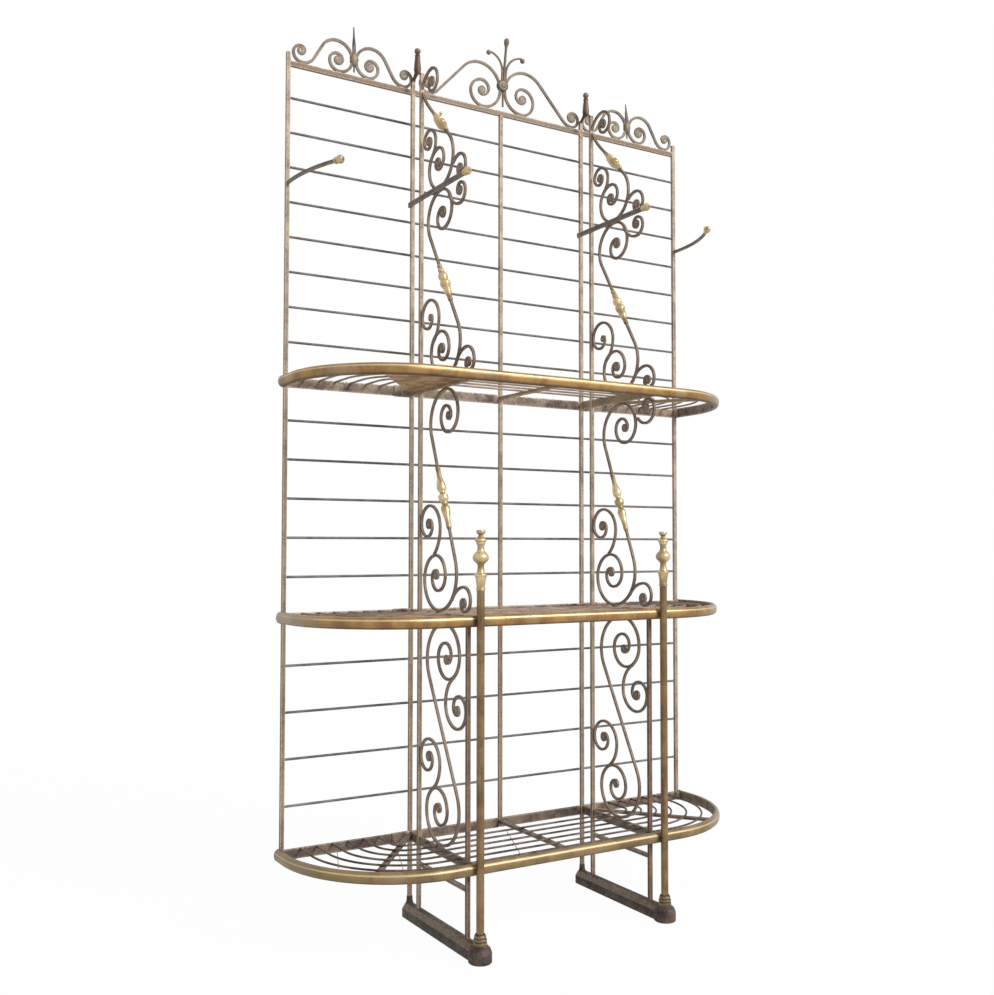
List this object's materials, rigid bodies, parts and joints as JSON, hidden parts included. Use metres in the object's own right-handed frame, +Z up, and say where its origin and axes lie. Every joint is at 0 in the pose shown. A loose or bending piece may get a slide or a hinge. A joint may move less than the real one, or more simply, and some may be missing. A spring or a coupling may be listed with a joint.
{
  "type": "bakers rack",
  "caption": "Open iron stand with bow-ended wire shelves edged in brass, scroll brackets, rod back, scrolled crest, cast feet and brass front columns.",
  "frame": {"origin": "centre of the footprint on the floor, under the middle of the overall box", "axes": "+X to the right of someone facing the rack, +Y from the front towards the back panel, +Z up"},
  "size_m": [1.1956, 0.3854, 2.2278],
  "materials": {
    "iron_bar": "worn paint, rubbed to a pinkish tan on the front faces",
    "iron_wire": "bare iron, dark and dull",
    "iron_strip": "old grey paint, mottled with rust",
    "iron_scroll": "dark brown, rubbed lighter on the edges",
    "cast_feet": "rough casting with worn brown patches",
    "brass": "aged and unlacquered, brighter on raised parts"
  },
  "bodies": {
    "root": {"arm_knobs": "brass", "back_rail_bottom": "iron_strip", "back_rail_middle": "iron_strip", "back_rail_top": "iron_strip", "back_rods_lower": "iron_wire", "back_rods_middle": "iron_wire", "back_rods_upper": "iron_wire", "bearers_bottom": "iron_strip", "bearers_middle": "iron_strip", "bearers_top": "iron_strip", "bracket_stile_left": "iron_bar", "bracket_stile_right": "iron_bar", "centre_stile": "iron_bar", "column_bases": "brass", "column_finial_left": "brass", "column_finial_right": "brass", "column_left": "brass", "column_right": "brass", "crest_bosses": "brass", "crest_plume": "brass", "crest_scrolls_centre": "iron_scroll", "crest_scrolls_left": "iron_scroll", "crest_scrolls_right": "iron_scroll", "crest_spikes": "brass", "edging_bottom": "brass", "edging_caps": "brass", "edging_middle": "brass", "edging_top": "brass", "foot_left": "cast_feet", "foot_right": "cast_feet", "foot_struts": "iron_bar", "front_post_left": "iron_bar", "front_post_right": "iron_bar", "inner_arm_left": "iron_scroll", "inner_arm_right": "iron_scroll", "inner_stile_left": "iron_bar", "inner_stile_right": "iron_bar", "knops_left": "brass", "knops_right": "brass", "outer_arm_left": "iron_scroll", "outer_arm_right": "iron_scroll", "outer_stile_left": "iron_bar", "outer_stile_right": "iron_bar", "rail_splices": "iron_strip", "rim_bottom": "iron_strip", "rim_middle": "iron_strip", "rim_top": "iron_strip", "saddle_finials": "brass", "scrolls_lower_left": "iron_scroll", "scrolls_lower_right": "iron_scroll", "scrolls_middle_left": "iron_scroll", "scrolls_middle_right": "iron_scroll", "scrolls_top_left": "iron_scroll", "scrolls_top_right": "iron_scroll", "scrolls_upper_left": "iron_scroll", "scrolls_upper_right": "iron_scroll", "top_rail": "iron_strip", "wires_bottom": "iron_wire", "wires_middle": "iron_wire", "wires_top": "iron_wire"}
  },
  "joints": []
}
